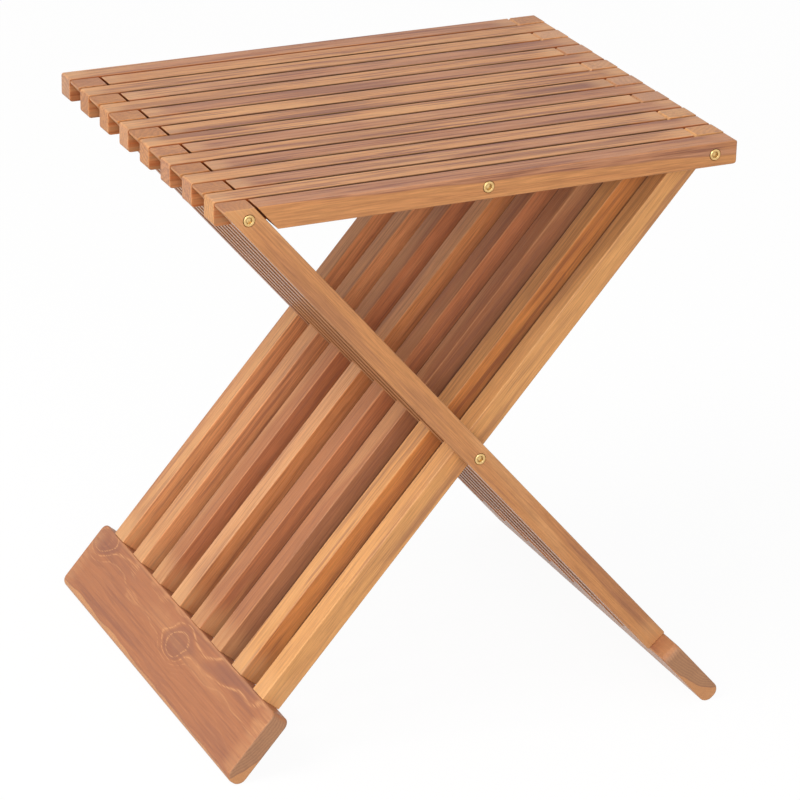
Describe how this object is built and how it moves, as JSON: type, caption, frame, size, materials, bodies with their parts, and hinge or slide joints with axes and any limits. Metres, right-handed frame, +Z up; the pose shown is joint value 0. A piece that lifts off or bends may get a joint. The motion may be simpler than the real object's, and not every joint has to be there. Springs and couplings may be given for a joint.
{
  "type": "folding stool",
  "caption": "Slatted wooden folding stool: crossed leg frames on foot boards, and a seat of interleaved hinged slats that folds up as the legs close.",
  "frame": {"origin": "on the floor under the middle of the seat", "axes": "+Z up, X along the seat slats with frame A's hinge rod at the -X end, Y across the slats, front at -Y"},
  "size_m": [0.4, 0.369, 0.445],
  "materials": {
    "slats_a": "oiled teak-like wood, satin",
    "slats_b": "oiled teak-like wood, satin",
    "legs_a": "oiled teak-like wood, satin",
    "legs_b": "oiled teak-like wood, satin",
    "foot_boards": "oiled teak-like wood, satin",
    "rods": "plain zinc",
    "spacers": "dark nylon",
    "caps": "satin brass"
  },
  "bodies": {
    "frame_b": {"leg_b_1": "legs_b", "leg_b_2": "legs_b", "leg_b_3": "legs_b", "leg_b_4": "legs_b", "leg_b_5": "legs_b", "leg_b_6": "legs_b", "leg_b_7": "legs_b", "leg_b_8": "legs_b", "foot_board_b": "foot_boards", "rod_right": "rods", "spacers_right": "spacers", "cap_right_front": "caps", "cap_right_back": "caps", "rod_crossing": "rods", "spacers_crossing": "spacers", "cap_crossing_front": "caps", "cap_crossing_back": "caps"},
    "frame_a": {"leg_a_1": "legs_a", "leg_a_2": "legs_a", "leg_a_3": "legs_a", "leg_a_4": "legs_a", "leg_a_5": "legs_a", "leg_a_6": "legs_a", "leg_a_7": "legs_a", "leg_a_8": "legs_a", "foot_board_a": "foot_boards", "rod_left": "rods", "spacers_left": "spacers", "cap_left_front": "caps", "cap_left_back": "caps"},
    "seat_a": {"seat_slat_a_1": "slats_a", "seat_slat_a_2": "slats_a", "seat_slat_a_3": "slats_a", "seat_slat_a_4": "slats_a", "seat_slat_a_5": "slats_a", "seat_slat_a_6": "slats_a", "seat_slat_a_7": "slats_a", "seat_slat_a_8": "slats_a", "rod_middle_a": "rods", "spacers_middle": "spacers", "cap_middle_back": "caps"},
    "seat_b": {"seat_slat_b_1": "slats_b", "seat_slat_b_2": "slats_b", "seat_slat_b_3": "slats_b", "seat_slat_b_4": "slats_b", "seat_slat_b_5": "slats_b", "seat_slat_b_6": "slats_b", "seat_slat_b_7": "slats_b", "seat_slat_b_8": "slats_b", "rod_middle_b": "rods", "cap_middle_front": "caps"}
  },
  "joints": [
    {"name": "legs_fold", "type": "hinge", "parent": "frame_b", "child": "frame_a", "pos_m": [0, 0, 0.2265], "axis": [0, 1, 0], "range_deg": [0, 76.96]},
    {"name": "seat_a_hinge", "type": "hinge", "parent": "frame_a", "child": "seat_a", "pos_m": [-0.182, 0, 0.436], "axis": [0, -1, 0], "range_deg": [0, 124.67]},
    {"name": "seat_b_hinge", "type": "hinge", "parent": "frame_b", "child": "seat_b", "pos_m": [0.182, 0, 0.436], "axis": [0, 1, 0], "range_deg": [0, 124.67]}
  ],
  "couplings": [
    {"joint": "seat_a_hinge", "follows": "legs_fold", "ratio": 1.6198},
    {"joint": "seat_b_hinge", "follows": "legs_fold", "ratio": 1.6198}
  ]
}
